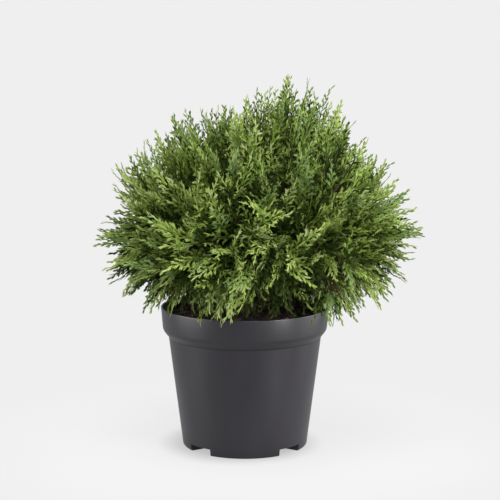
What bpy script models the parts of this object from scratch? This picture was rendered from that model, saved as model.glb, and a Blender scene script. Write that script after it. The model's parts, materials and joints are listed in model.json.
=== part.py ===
"""Potted dwarf cypress: a plastic nursery pot, its root ball, a short trunk, boughs and masses of sprays.

Metres, +Z up. The origin lies on the pot's axis, on the flat underside of the pot. -Y is the front.
"""

import math
import random

import bmesh
import bpy
from mathutils import Vector, noise
from mathutils.bvhtree import BVHTree

# The pot: a tapered wall under a straight band, which ends in a rim.
POT_HEIGHT = 0.1586
RIM_RADIUS = 0.0950
RIM_ROUND = 0.0008
BAND_FOOT_HEIGHT = 0.1329
BAND_FOOT_RADIUS = 0.0928
WALL_TOP_HEIGHT = 0.1249
WALL_TOP_RADIUS = 0.0864
BASE_RADIUS = 0.0707
BASE_ROUND = 0.0012
WALL = 0.0018
POT_FLOOR = 0.0025
POT_SIDES = 64

# Drainage notches round the foot of the pot, each a roofed pocket with a drain hole.
NOTCH_COUNT = 4
NOTCH_HALF_ANGLE = math.radians(12.5)
NOTCH_HEIGHT = 0.0078
NOTCH_INNER_RADIUS = 0.0520
NOTCH_STEPS = 4
DRAIN_RADIUS = 0.0040
DRAIN_SIDES = 10

# The root ball, level with the soil that shows inside the rim.
CLEARANCE = 0.0003
SOIL_EDGE_HEIGHT = 0.1480
SOIL_MIDDLE_HEIGHT = 0.1520
SOIL_FLAT_RADIUS = 0.0280

# The crown's outline: a domed top that leans a little, on a shallower underside, to one side of the pot.
# The powers say how full its curve is: 2 is a plain ellipse, less is more pointed.
CROWN_CENTRE = Vector((0.015, 0.0, 0.234))
CROWN_RADIUS = 0.1860
CROWN_RISE = 0.1780
CROWN_DROP = 0.1170
RISE_POWER = 1.68
DROP_POWER = 1.80
CROWN_LEAN = 0.010

# Swells and dips of the outline: bearing and elevation from the fork (degrees), and gain in reach.
SWELLS = ((0.0, 75.0, 0.07), (180.0, 84.0, -0.07))
SWELL_ANGLE = math.radians(15.0)

# The trunk, from the soil to the foot of the top mass.
FORK = Vector((0.012, 0.0, 0.215))
TRUNK_FOOT_RADIUS = 0.0105
TRUNK_TIP_RADIUS = 0.0042
ROOT_FLARE = 0.75
ROOT_FLARE_HEIGHT = 0.0060
ROOT_LOBES = 5
ROOT_LOBE_DEPTH = 0.4
TRUNK_TAPER_POWER = 0.8
TRUNK_SIDES = 10
TRUNK_RINGS = 9
RING_CROWDING = 1.4

# The masses, in rings round the fork: name, count, elevation and first bearing from +X in degrees.
RINGS = (
    ("lower", 7, -5.0, 12.0),
    ("upper", 5, 36.0, 36.0),
    ("top", 1, 78.0, 0.0),
)
MASS_START = 0.27
CORE_START = 0.32
CORE_PLACE = 0.52
CORE_REACH = 0.70
CORE_FLOOR = 0.1720
CORE_LUMPS = 0.16
CORE_LUMP_SCALE = 4.0
HALF_GAP = 0.0006

# The boughs: how far up the trunk each ring's boughs start, as a share of the trunk.
BOUGH_START = {"lower": 0.12, "upper": 0.58}
BOUGH_START_SPREAD = {"lower": 0.38, "upper": 0.26}
BOUGH_START_STRIDE = 3
BOUGH_FOOT_RADIUS = 0.0042
BOUGH_TIP_RADIUS = 0.0028
BOUGH_SIDES = 6
BOUGH_RINGS = 5
BOUGH_TURN = 0.45
BOUGH_SAG = 0.0060
STEM_TAPER = (1.0, 0.8, 0.6)

# The sprays: flat toothed fans, spread evenly over the crown.
SPRAY_COUNT = 186
LOWEST_SPRAY = math.radians(-32.0)
SPRAY_HALF_WIDTH = 0.0230
SPRAY_RIDGE = 0.0011
RIDGE_TAPER = 0.5
SIZE_SPREAD = (0.85, 1.15)
SPRAY_ARCH = 0.0060
SPRAY_SINK = 0.0070
SPRAY_SPREAD = 0.16
SPRAY_STRAY = 0.16
TIP_REACH = (0.94, 1.02)
ROLLS = (0.0, 14.0, -14.0, 28.0, -28.0, 45.0, -45.0, 70.0, 90.0)
ROLL_COST = 0.08
OUTLINE_SLACK = 0.01
PULL = 0.06
PULL_STEPS = 8
SEED = 29

# Leading sprays, which give the crown its furthest tips: bearing, elevation (degrees) and reach as a share
# of the outline.
LEADERS = (
    (0.0, 80.5, 1.01),
    (8.0, 72.0, 1.01),
    (0.0, 22.0, 1.0),
    (0.0, 7.0, 1.0),
    (180.0, 5.0, 1.0),
    (90.0, 6.0, 1.0),
    (270.0, 6.0, 1.0),
)

# One spray's outline on each side: share of the length, and of the half width.
TEETH = ((0.40, 0.72), (0.62, 1.0), (0.85, 0.74))
NOTCHES = ((0.43, 0.22), (0.66, 0.24))
SPINE = (0.0, 0.42, 0.66)
SIDE_STAGGER = 0.035
FOOT_SHARE = 0.10

# Round pieces are shaded smooth, except at edges sharper than this.
SHARP_ANGLE = math.radians(35.0)

# What the sprays keep clear of: the rim and the space inside it.
RIM_CLEAR_RADIUS = RIM_RADIUS + 0.0030
RIM_CLEAR_HEIGHT = POT_HEIGHT + 0.0030
SAMPLES = 8


def clear_scene():
    for obj in list(bpy.data.objects):
        bpy.data.objects.remove(obj)


def make_material(name, colour, roughness, metallic=0.0):
    material = bpy.data.materials.new(name)
    material.use_nodes = True
    shader = material.node_tree.nodes["Principled BSDF"]
    shader.inputs["Base Color"].default_value = (*colour, 1.0)
    shader.inputs["Roughness"].default_value = roughness
    shader.inputs["Metallic"].default_value = metallic
    return material


def add_object(name, bm, material=None, collection=None):
    """The bmesh as a named object, with its faces turned outwards."""
    bmesh.ops.recalc_face_normals(bm, faces=bm.faces)
    mesh = bpy.data.meshes.new(name)
    bm.to_mesh(mesh)
    bm.free()
    if material:
        mesh.materials.append(material)
    obj = bpy.data.objects.new(name, mesh)
    (collection or bpy.context.scene.collection).objects.link(obj)
    return obj


def helper_collection(name):
    collection = bpy.data.collections.new(name)
    bpy.context.scene.collection.children.link(collection)
    return collection


def combine(obj, operation, collection):
    """Applies one Boolean of obj with all of the collection, whose objects are then removed."""
    modifier = obj.modifiers.new("join", "BOOLEAN")
    modifier.operation = operation
    modifier.operand_type = "COLLECTION"
    modifier.collection = collection
    modifier.solver = "EXACT"
    bpy.context.view_layer.update()
    graph = bpy.context.evaluated_depsgraph_get()
    mesh = bpy.data.meshes.new_from_object(obj.evaluated_get(graph))
    obj.modifiers.clear()
    obj.data = mesh
    for helper in list(collection.objects):
        bpy.data.objects.remove(helper)
    bpy.data.collections.remove(collection)
    return obj


# Round pieces

def turned(profile, sides):
    """A solid turned about Z from a profile of (radius, height), whose ends lie on the axis."""
    bm = bmesh.new()
    rings = []
    for radius, height in profile:
        if radius == 0.0:
            rings.append([bm.verts.new((0.0, 0.0, height))])
            continue
        ring = []
        for step in range(sides):
            angle = 2.0 * math.pi * step / sides
            ring.append(bm.verts.new((radius * math.cos(angle), radius * math.sin(angle), height)))
        rings.append(ring)
    for first, second in zip(rings, rings[1:]):
        for step in range(sides):
            after = (step + 1) % sides
            corners = [first[step % len(first)], first[after % len(first)]]
            corners += [second[after % len(second)], second[step % len(second)]]
            bm.faces.new(list(dict.fromkeys(corners)))
    return bm


def sector_block(inner, outer, low, high, middle, half_angle):
    """A block between two radii and two heights, over a stretch of angle either side of middle."""
    bm = bmesh.new()
    rows = []
    for step in range(NOTCH_STEPS + 1):
        angle = middle + half_angle * (2.0 * step / NOTCH_STEPS - 1.0)
        along = Vector((math.cos(angle), math.sin(angle), 0.0))
        corners = ((inner, low), (outer, low), (outer, high), (inner, high))
        rows.append([bm.verts.new(along * radius + Vector((0.0, 0.0, z))) for radius, z in corners])
    for first, second in zip(rows, rows[1:]):
        for side in range(4):
            after = (side + 1) % 4
            bm.faces.new((first[side], first[after], second[after], second[side]))
    bm.faces.new(rows[0][::-1])
    bm.faces.new(rows[-1])
    return bm


def wall_radius(height):
    """The outer radius of the tapered wall at a height."""
    return BASE_RADIUS + (WALL_TOP_RADIUS - BASE_RADIUS) * height / WALL_TOP_HEIGHT


def inner_profile(inset, floor, top):
    """The inside of the pot, from the axis at the floor up to a height inside the band."""
    band_share = (top - BAND_FOOT_HEIGHT) / (POT_HEIGHT - BAND_FOOT_HEIGHT)
    band_radius = BAND_FOOT_RADIUS + (RIM_RADIUS - BAND_FOOT_RADIUS) * band_share
    return [
        (0.0, floor),
        (wall_radius(floor) - inset, floor),
        (WALL_TOP_RADIUS - inset, WALL_TOP_HEIGHT),
        (BAND_FOOT_RADIUS - inset, BAND_FOOT_HEIGHT),
        (band_radius - inset, top),
    ]


def notch_angles():
    return [2.0 * math.pi * (step + 0.5) / NOTCH_COUNT for step in range(NOTCH_COUNT)]


def make_pot(material):
    outside = [
        (0.0, 0.0),
        (BASE_RADIUS - BASE_ROUND, 0.0),
        (wall_radius(BASE_ROUND), BASE_ROUND),
        (WALL_TOP_RADIUS, WALL_TOP_HEIGHT),
        (BAND_FOOT_RADIUS, BAND_FOOT_HEIGHT),
        (RIM_RADIUS, POT_HEIGHT - RIM_ROUND),
        (RIM_RADIUS - RIM_ROUND, POT_HEIGHT),
    ]
    inside = inner_profile(WALL, POT_FLOOR, POT_HEIGHT)
    pot = add_object("pot", turned(outside + inside[::-1], POT_SIDES), material)

    pockets = helper_collection("pockets")
    pocket_angle = NOTCH_HALF_ANGLE + WALL / NOTCH_INNER_RADIUS
    for middle in notch_angles():
        block = sector_block(NOTCH_INNER_RADIUS - WALL, BASE_RADIUS - 0.5 * WALL, 0.5 * POT_FLOOR,
                             NOTCH_HEIGHT + WALL, middle, pocket_angle)
        add_object("pocket", block, material, pockets)
    combine(pot, "UNION", pockets)

    notches = helper_collection("notches")
    for middle in notch_angles():
        block = sector_block(NOTCH_INNER_RADIUS, RIM_RADIUS, -WALL, NOTCH_HEIGHT, middle, NOTCH_HALF_ANGLE)
        add_object("notch", block, material, notches)
    combine(pot, "DIFFERENCE", notches)

    drains = helper_collection("drains")
    drain_distance = 0.5 * (NOTCH_INNER_RADIUS + BASE_RADIUS) - WALL
    for middle in notch_angles():
        low, high = NOTCH_HEIGHT - WALL, NOTCH_HEIGHT + 2.0 * WALL
        drain = turned([(0.0, low), (DRAIN_RADIUS, low), (DRAIN_RADIUS, high), (0.0, high)], DRAIN_SIDES)
        shift = Vector((math.cos(middle), math.sin(middle), 0.0)) * drain_distance
        bmesh.ops.translate(drain, verts=drain.verts, vec=shift)
        add_object("drain", drain, material, drains)
    return combine(pot, "DIFFERENCE", drains)


def make_soil(material):
    """The root ball: it fills the pot to the soil line and stands clear of the pockets over the notches."""
    inset = WALL + CLEARANCE
    profile = inner_profile(inset, POT_FLOOR + CLEARANCE, SOIL_EDGE_HEIGHT)
    profile += [(SOIL_FLAT_RADIUS, SOIL_MIDDLE_HEIGHT), (0.0, SOIL_MIDDLE_HEIGHT)]
    soil = add_object("soil", turned(profile, POT_SIDES), material)
    pockets = helper_collection("pocket_clearances")
    pocket_angle = NOTCH_HALF_ANGLE + (WALL + CLEARANCE) / NOTCH_INNER_RADIUS
    for middle in notch_angles():
        block = sector_block(NOTCH_INNER_RADIUS - WALL - CLEARANCE, RIM_RADIUS, -WALL,
                             NOTCH_HEIGHT + WALL + CLEARANCE, middle, pocket_angle)
        add_object("pocket_clearance", block, material, pockets)
    return combine(soil, "DIFFERENCE", pockets)


# The crown's outline and its masses

def outline_share(point):
    """How far out a point lies: 1 on the crown's outline, less inside it."""
    offset = point - CROWN_CENTRE
    half_height, power = (CROWN_RISE, RISE_POWER) if offset.z > 0.0 else (CROWN_DROP, DROP_POWER)
    offset.x -= CROWN_LEAN * max(offset.z / CROWN_RISE, 0.0) ** 2
    level = (math.hypot(offset.x, offset.y) / CROWN_RADIUS) ** power
    plain = (level + (abs(offset.z) / half_height) ** power) ** (1.0 / power)
    gain = 1.0
    for bearing, elevation, swell in SWELLS:
        angle = (point - FORK).angle(heading(math.radians(bearing), math.radians(elevation)), 0.0)
        gain += swell * math.exp(-(angle / SWELL_ANGLE) ** 2)
    return plain / gain


def reach(direction):
    """The distance from the fork to the crown's outline along a direction."""
    near, far = 0.0, 2.0 * CROWN_RADIUS
    for _ in range(24):
        middle = 0.5 * (near + far)
        if outline_share(FORK + direction * middle) < 1.0:
            near = middle
        else:
            far = middle
    return near


def heading(bearing, elevation):
    """A unit vector from a bearing round Z and an elevation, in radians."""
    level = math.cos(elevation)
    return Vector((level * math.cos(bearing), level * math.sin(bearing), math.sin(elevation)))


TOP_DIRECTION = heading(math.radians(RINGS[-1][3]), math.radians(RINGS[-1][2]))


def mass_layout():
    """Every mass as (ring, number in the ring, name, direction from the fork)."""
    masses = []
    for ring, count, elevation, first in RINGS:
        for number in range(count):
            bearing = math.radians(first) + 2.0 * math.pi * number / count
            name = f"foliage_{ring}_{number + 1}" if count > 1 else f"foliage_{ring}"
            masses.append((ring, number, name, heading(bearing, math.radians(elevation))))
    return masses


def cell_planes(index, directions):
    """Inward normals of the planes through the fork that part one mass's space from the others'."""
    own = directions[index]
    return [(own - other).normalized() for place, other in enumerate(directions) if place != index]


# Limbs

def tube(path, radii, sides, lobes=None):
    """A tapering limb along a path, closed by flat ends. lobes[i] is the root flare at ring i."""
    bm = bmesh.new()
    rings = []
    for index, centre in enumerate(path):
        before = path[max(index - 1, 0)]
        after = path[min(index + 1, len(path) - 1)]
        along = (after - before).normalized()
        if lobes and index == 0:
            along = Vector((0.0, 0.0, 1.0))
        if index == len(path) - 1:
            along = (path[-1] - path[-2]).normalized()
        across = along.cross(Vector((0.0, 1.0, 0.0)) if abs(along.y) < 0.8 else Vector((1.0, 0.0, 0.0)))
        across.normalize()
        side = along.cross(across)
        ring = []
        for step in range(sides):
            angle = 2.0 * math.pi * step / sides
            radius = radii[index]
            if lobes:
                lobe = 1.0 - ROOT_LOBE_DEPTH * (1.0 - math.cos(ROOT_LOBES * angle))
                radius *= 1.0 + lobes[index] * lobe
            ring.append(bm.verts.new(centre + (across * math.cos(angle) + side * math.sin(angle)) * radius))
        rings.append(ring)
    for first, second in zip(rings, rings[1:]):
        for step in range(sides):
            after = (step + 1) % sides
            bm.faces.new((first[step], first[after], second[after], second[step]))
    bm.faces.new(rings[0][::-1])
    bm.faces.new(rings[-1])
    return bm


def curve(first, middle, last, share):
    """A point on the curve that leaves first towards middle and comes to last from it."""
    return first * (1.0 - share) ** 2 + middle * 2.0 * share * (1.0 - share) + last * share ** 2


def mass_foot(direction):
    """Where a mass's stem begins, next to the tip of its bough."""
    return FORK + direction * MASS_START * reach(direction)


def trunk_point(share):
    """The trunk's middle line: it leans from the pot's axis through the fork to the top mass."""
    foot = Vector((0.0, 0.0, SOIL_MIDDLE_HEIGHT + CLEARANCE))
    tip = mass_foot(TOP_DIRECTION) - TOP_DIRECTION * CLEARANCE
    return curve(foot, FORK * 2.0 - 0.5 * (foot + tip), tip, share)


def square_end(path, direction):
    """Turns the last stretch of a path along a direction, so that its end lies square to it."""
    path[-2] = path[-1] - direction * (path[-1] - path[-2]).length
    return path


def trunk_radius(share):
    return TRUNK_FOOT_RADIUS + (TRUNK_TIP_RADIUS - TRUNK_FOOT_RADIUS) * share ** TRUNK_TAPER_POWER


def trunk_shape(extra=0.0):
    shares = [(step / (TRUNK_RINGS - 1)) ** RING_CROWDING for step in range(TRUNK_RINGS)]
    path = square_end([trunk_point(share) for share in shares], TOP_DIRECTION)
    radii = [trunk_radius(share) + extra for share in shares]
    lobes = [ROOT_FLARE * math.exp(-(point.z - path[0].z) / ROOT_FLARE_HEIGHT) for point in path]
    return tube(path, radii, TRUNK_SIDES, lobes)


def bough_path(ring, number, count, direction):
    """From inside the trunk, up and outwards, to the foot of its mass."""
    height = BOUGH_START_STRIDE * number % count / count
    start = trunk_point(BOUGH_START[ring] + BOUGH_START_SPREAD[ring] * height)
    end = mass_foot(direction) - direction * CLEARANCE
    turn = end - direction * BOUGH_TURN * (end - start).length - Vector((0.0, 0.0, BOUGH_SAG))
    shares = [step / (BOUGH_RINGS - 1) for step in range(BOUGH_RINGS)]
    return square_end([curve(start, turn, end, share) for share in shares], direction)


def make_bough(ring, number, count, direction, material):
    path = bough_path(ring, number, count, direction)
    radii = [BOUGH_FOOT_RADIUS + (BOUGH_TIP_RADIUS - BOUGH_FOOT_RADIUS) * step / (BOUGH_RINGS - 1)
             for step in range(BOUGH_RINGS)]
    bough = add_object(f"bough_{ring}_{number + 1}", tube(path, radii, BOUGH_SIDES), material)
    cutters = helper_collection("trunk_clearance")
    add_object("trunk_clearance", trunk_shape(CLEARANCE), material, cutters)
    return combine(bough, "DIFFERENCE", cutters)


# Sprays

def spray_frame(foot, tip, facing, roll):
    """Axes of a spray with a flat side turned to facing: along it, across it and out of that side."""
    along = (tip - foot).normalized()
    level = along.cross(facing).normalized()
    upright = level.cross(along)
    across = level * math.cos(roll) + upright * math.sin(roll)
    return along, across, across.cross(along)


def spray_points(foot, tip, half_width, facing, roll):
    """The spray's outline on both sides, its ridge points and its tip, on a slightly arched blade."""
    along, across, out = spray_frame(foot, tip, facing, roll)
    length = (tip - foot).length

    def place(share, width):
        arch = out * (SPRAY_ARCH * 4.0 * share * (1.0 - share))
        return foot + along * (length * share) + across * width + arch

    sides = []
    for sign in (1.0, -1.0):
        stagger = SIDE_STAGGER if sign > 0.0 else 0.0
        outline = [place(0.0, sign * FOOT_SHARE * half_width)]
        for index, (share, width) in enumerate(TEETH):
            outline.append(place(share + stagger, sign * width * half_width))
            if index < len(NOTCHES):
                share, width = NOTCHES[index]
                outline.append(place(share + stagger, sign * width * half_width))
        sides.append(outline)
    spine = [place(share, 0.0) for share in SPINE]
    ridge = [SPRAY_RIDGE * (1.0 - RIDGE_TAPER * share) for share in SPINE]
    return sides, spine, ridge, out, place(1.0, 0.0)


def spray_shape(foot, tip, half_width, facing, roll):
    """A solid toothed fan: thickest along its middle, with sharp edges."""
    sides, spine, ridge, out, end = spray_points(foot, tip, half_width, facing, roll)
    bm = bmesh.new()
    end_vert = bm.verts.new(end)
    faces_of = [[bm.verts.new(point + out * thick * face) for point, thick in zip(spine, ridge)]
                for face in (1.0, -1.0)]
    outlines = [[bm.verts.new(point) for point in side] for side in sides]
    for middle in faces_of:
        for edge in outlines:
            rim = edge + [end_vert]
            for index, centre in enumerate(middle):
                first = 2 * index
                bm.faces.new((centre, rim[first], rim[first + 1]))
                bm.faces.new((centre, rim[first + 1], rim[first + 2]))
                if index + 1 < len(middle):
                    bm.faces.new((centre, rim[first + 2], middle[index + 1]))
    bm.faces.new((outlines[0][0], faces_of[0][0], outlines[1][0], faces_of[1][0]))
    return bm


def keeps_its_space(points, planes, limit):
    """True if every point of a spray is inside the outline, in its own space and clear of the pot."""
    for point in points:
        if outline_share(point) > limit:
            return False
        if any((point - FORK).dot(normal) < HALF_GAP + SPRAY_RIDGE for normal in planes):
            return False
        if point.z < RIM_CLEAR_HEIGHT and math.hypot(point.x, point.y) < RIM_CLEAR_RADIUS:
            return False
    return True


def sampled(sides, spine, end):
    """Points along the outline and the ridge, close enough together to test."""
    points = []
    for line in (sides[0] + [end], sides[1] + [end], spine + [end]):
        for first, second in zip(line, line[1:]):
            points += [first.lerp(second, step / SAMPLES) for step in range(SAMPLES + 1)]
    return points


def spray_directions():
    """Directions spread evenly over the crown above its open underside, with the leaders first."""
    found = [(heading(math.radians(bearing), math.radians(elevation)), share)
             for bearing, elevation, share in LEADERS]
    golden = math.pi * (3.0 - math.sqrt(5.0))
    low = math.sin(LOWEST_SPRAY)
    for step in range(SPRAY_COUNT):
        height = 1.0 - (1.0 - low) * (step + 0.5) / SPRAY_COUNT
        found.append((heading(golden * step, math.asin(height)), None))
    return found


def place_spray(direction, leading, own, core_tree, planes, grown, chance):
    """The spray that grows towards a direction, or None. It is turned until it crosses as few of the
    sprays grown so far as it can, and drawn in until it keeps its space."""
    share = leading or chance.uniform(*TIP_REACH)
    width = SPRAY_HALF_WIDTH * chance.uniform(*SIZE_SPREAD)
    stray = Vector([chance.uniform(-SPRAY_STRAY, SPRAY_STRAY) for _ in range(3)])
    for pull in range(PULL_STEPS):
        aim = direction.lerp(own, PULL * pull).normalized()
        tip = FORK + aim * reach(aim) * share
        facing = (aim.lerp(own, SPRAY_SPREAD) + stray).normalized()
        surface = core_tree.ray_cast(FORK + facing * 2.0 * CROWN_RADIUS, -facing)[0]
        if surface is None:
            continue
        foot = surface - facing * SPRAY_SINK
        choices = []
        for degrees in ROLLS:
            roll = math.radians(degrees)
            sides, spine, _, _, end = spray_points(foot, tip, width, facing, roll)
            if keeps_its_space(sampled(sides, spine, end), planes, max(share, 1.0) + OUTLINE_SLACK):
                spray = spray_shape(foot, tip, width, facing, roll)
                tree = BVHTree.FromBMesh(spray)
                crossings = sum(len(tree.overlap(other)) for other in grown)
                choices.append((crossings + ROLL_COST * abs(degrees), degrees, spray, tree))
        if choices:
            _, _, spray, tree = min(choices, key=lambda choice: choice[:2])
            grown.append(tree)
            return spray
    return None


def cut_away(bm, place, outwards):
    """Cuts a solid along a plane, drops what lies beyond it and closes the cut."""
    whole = bm.verts[:] + bm.edges[:] + bm.faces[:]
    bmesh.ops.bisect_plane(bm, geom=whole, dist=1e-7, plane_co=place, plane_no=outwards, clear_outer=True)
    bmesh.ops.holes_fill(bm, edges=[edge for edge in bm.edges if edge.is_boundary], sides=0)


def core_shape(own, planes):
    """The part of a lumpy, smaller crown that lies in one mass's space, clear of the limbs and the rim."""
    core = bmesh.new()
    bmesh.ops.create_icosphere(core, subdivisions=3, radius=1.0)
    for vert in core.verts:
        along = vert.co.normalized()
        lump = 1.0 + CORE_LUMPS * noise.noise(along * CORE_LUMP_SCALE)
        vert.co = FORK + along * reach(along) * CORE_REACH * lump
    for normal in planes:
        cut_away(core, FORK + normal * HALF_GAP, -normal)
    cut_away(core, FORK + own * CORE_START * reach(own), -own)
    cut_away(core, Vector((0.0, 0.0, CORE_FLOOR)), Vector((0.0, 0.0, -1.0)))
    bmesh.ops.triangulate(core, faces=core.faces)
    return core


def make_mass(name, index, stem_radius, directions, aims, material):
    """A stem, a core and the sprays that stand out of it, joined into one solid."""
    own = directions[index]
    planes = cell_planes(index, directions)
    chance = random.Random(SEED + index)
    centre = FORK + own * CORE_PLACE * reach(own)
    core = core_shape(own, planes)
    core_tree = BVHTree.FromBMesh(core)
    mass = add_object(name, core, material)

    pieces = helper_collection("pieces_" + name)
    foot = mass_foot(own)
    radii = [stem_radius * taper for taper in STEM_TAPER]
    add_object("stem", tube([foot, foot.lerp(centre, 0.5), centre], radii, BOUGH_SIDES), material, pieces)
    grown = []
    for direction, leading in aims:
        spray = place_spray(direction, leading, own, core_tree, planes, grown, chance)
        if spray:
            add_object("spray", spray, material, pieces)
    return combine(mass, "UNION", pieces)


def make_foliage(material_of):
    masses = mass_layout()
    directions = [direction for _, _, _, direction in masses]
    shares = [[] for _ in masses]
    for direction, leading in spray_directions():
        nearest = max(range(len(masses)), key=lambda place: direction.dot(directions[place]))
        shares[nearest].append((direction, leading))
    for index, (ring, _, name, _) in enumerate(masses):
        stem_radius = BOUGH_TIP_RADIUS if ring in BOUGH_START else TRUNK_TIP_RADIUS
        make_mass(name, index, stem_radius, directions, shares[index], material_of[ring])


def make_limbs(material):
    add_object("trunk", trunk_shape(), material)
    counts = {ring: count for ring, count, _, _ in RINGS}
    for ring, number, _, direction in mass_layout():
        if ring in BOUGH_START:
            make_bough(ring, number, counts[ring], direction, material)


def shade_round_pieces():
    for obj in bpy.context.scene.objects:
        if not obj.name.startswith("foliage"):
            obj.data.shade_smooth()
            obj.data.set_sharp_from_angle(angle=SHARP_ANGLE)


def main():
    clear_scene()
    pot_plastic = make_material("pot_plastic", (0.035, 0.034, 0.038), 0.5)
    potting_soil = make_material("potting_soil", (0.020, 0.014, 0.010), 0.95)
    bark = make_material("bark", (0.105, 0.062, 0.040), 0.85)
    greens = {
        "lower": make_material("lower_foliage", (0.085, 0.165, 0.040), 0.6),
        "upper": make_material("upper_foliage", (0.110, 0.200, 0.040), 0.6),
        "top": make_material("top_foliage", (0.125, 0.215, 0.042), 0.6),
    }
    make_pot(pot_plastic)
    make_soil(potting_soil)
    make_limbs(bark)
    make_foliage(greens)
    shade_round_pieces()


main()
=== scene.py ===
"""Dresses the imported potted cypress: its nursery pot, soil, bark, twigs and sprays of scale leaves."""

import json
import random
from math import asin, atan2, copysign, cos, degrees, exp, hypot, pi, radians, remainder, sin, sqrt, tau

import bmesh
import bpy
import numpy as np
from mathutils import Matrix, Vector, noise

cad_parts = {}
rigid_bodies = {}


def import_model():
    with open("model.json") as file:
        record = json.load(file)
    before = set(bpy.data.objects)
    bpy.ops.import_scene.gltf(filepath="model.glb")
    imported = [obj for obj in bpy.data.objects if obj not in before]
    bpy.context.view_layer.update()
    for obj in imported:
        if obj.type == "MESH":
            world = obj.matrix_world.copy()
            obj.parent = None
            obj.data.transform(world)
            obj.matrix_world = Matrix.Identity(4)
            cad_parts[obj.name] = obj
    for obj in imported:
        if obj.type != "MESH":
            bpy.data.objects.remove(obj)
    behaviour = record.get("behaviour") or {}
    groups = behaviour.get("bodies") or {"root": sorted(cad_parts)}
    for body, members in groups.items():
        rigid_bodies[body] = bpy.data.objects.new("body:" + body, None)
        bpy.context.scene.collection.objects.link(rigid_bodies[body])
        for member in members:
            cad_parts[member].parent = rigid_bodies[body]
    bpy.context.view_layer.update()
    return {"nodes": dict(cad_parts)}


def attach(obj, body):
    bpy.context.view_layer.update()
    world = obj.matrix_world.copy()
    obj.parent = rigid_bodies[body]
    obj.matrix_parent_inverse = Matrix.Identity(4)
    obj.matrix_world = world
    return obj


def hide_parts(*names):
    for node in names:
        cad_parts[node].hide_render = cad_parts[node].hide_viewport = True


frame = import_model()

UP = Vector((0.0, 0.0, 1.0))

# The pot, as in the part: a tapered wall under a straight band that ends in a rim.
POT_HEIGHT = 0.1586
RIM_RADIUS = 0.0950
BAND_FOOT_HEIGHT = 0.1329
BAND_FOOT_RADIUS = 0.0928
WALL_TOP_HEIGHT = 0.1249
WALL_TOP_RADIUS = 0.0864
BAND_SLOPE = (BAND_FOOT_HEIGHT - WALL_TOP_HEIGHT) / (BAND_FOOT_RADIUS - WALL_TOP_RADIUS)
BASE_RADIUS = 0.0707
WALL = 0.0018
POT_FLOOR = 0.0025
POT_SIDES = 192
RIM_ROUND = 0.0007
BAND_ROUND = 0.0030
CREASE_ROUND = 0.0005
CREASE_LINE = 0.0009
FOOT_ROUND = 0.0016
ROUND_STEPS = 5
SHARP_EDGE = radians(35.0)
NOTCH_COUNT = 4
NOTCH_HALF_ANGLE = radians(12.5)
NOTCH_HEIGHT = 0.0078
NOTCH_INNER_RADIUS = 0.0520
NOTCH_STEPS = 12
DRAIN_RADIUS = 0.0040
DRAIN_SIDES = 28
CLEARANCE = 0.0003

# The soil's surface, with broad lumps and finer ones on them.
SOIL_EDGE_HEIGHT = 0.1480
SOIL_MIDDLE_HEIGHT = 0.1520
SOIL_LUMP = 0.0022
SOIL_LUMP_SCALE = 120.0
SOIL_LEVEL = 0.6
BROAD_LUMPS = 0.5
FINE_LUMPS = 0.25
FINE_LUMP_SCALE = 3.1
SOIL_RINGS = 40
SOIL_SIDES = 120

# Colours, each as (darker, lighter).
PLASTIC = ((0.0102, 0.0087, 0.0121), (0.0140, 0.0125, 0.0165))
# The crease under the band: a darker plastic, painted shade.
CREASE_SHADE_PLASTIC = ((0.0020, 0.0018, 0.0024), (0.0034, 0.0030, 0.0040))
# The inside of the pot's band: a dark wall, painted shade.
INNER_WALL_SHADE = ((0.004, 0.003, 0.0025), (0.010, 0.008, 0.007))
ROOT_BALL = ((0.010, 0.007, 0.005), (0.030, 0.020, 0.013))
DAMP_SOIL = ((0.006, 0.004, 0.003), (0.022, 0.014, 0.009))
# Both barks are darkened below their own colour: painted shade, as they lie in the crown's shade.
BARK = ((0.022, 0.013, 0.009), (0.085, 0.052, 0.034))
TWIG_BARK = ((0.026, 0.017, 0.009), (0.075, 0.048, 0.027))

# What lies on the soil: its piece, its material, how many, their sizes and colours.
CRUMBS = (
    ("peat_crumbs", "peat_crumb", 2600, (0.0006, 0.0022), ((0.008, 0.005, 0.004), (0.036, 0.022, 0.013))),
    ("bark_chips", "bark_chip", 216, (0.0014, 0.0036), ((0.040, 0.022, 0.012), (0.120, 0.066, 0.036))),
    ("dry_scraps", "dry_scrap", 16, (0.0020, 0.0036), ((0.160, 0.110, 0.070), (0.320, 0.240, 0.160))),
)
CRUMB_SHAPE = ((0.7, 1.8), (0.6, 1.1), (0.35, 0.7))
CRUMB_JITTER = (0.75, 1.25)
CRUMB_LEAN = (-0.5, 0.5)
CRUMB_RISE = 0.2
CRUMB_MARGIN = 0.003

# The crown's outline and the spaces of its masses, as in the part.
CROWN_CENTRE = Vector((0.015, 0.0, 0.234))
CROWN_RADIUS = 0.1860
CROWN_RISE = 0.1780
CROWN_DROP = 0.1170
RISE_POWER = 1.68
DROP_POWER = 1.80
CROWN_LEAN = 0.010
SWELLS = ((0.0, 75.0, 0.07), (180.0, 84.0, -0.07))
SWELL_ANGLE = radians(15.0)
REACH_STEPS = 18
FORK = Vector((0.012, 0.0, 0.215))
RINGS = (("lower", 7, -5.0, 12.0), ("upper", 5, 36.0, 36.0), ("top", 1, 78.0, 0.0))
MASS_START = 0.27
CORE_PLACE = 0.52

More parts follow.
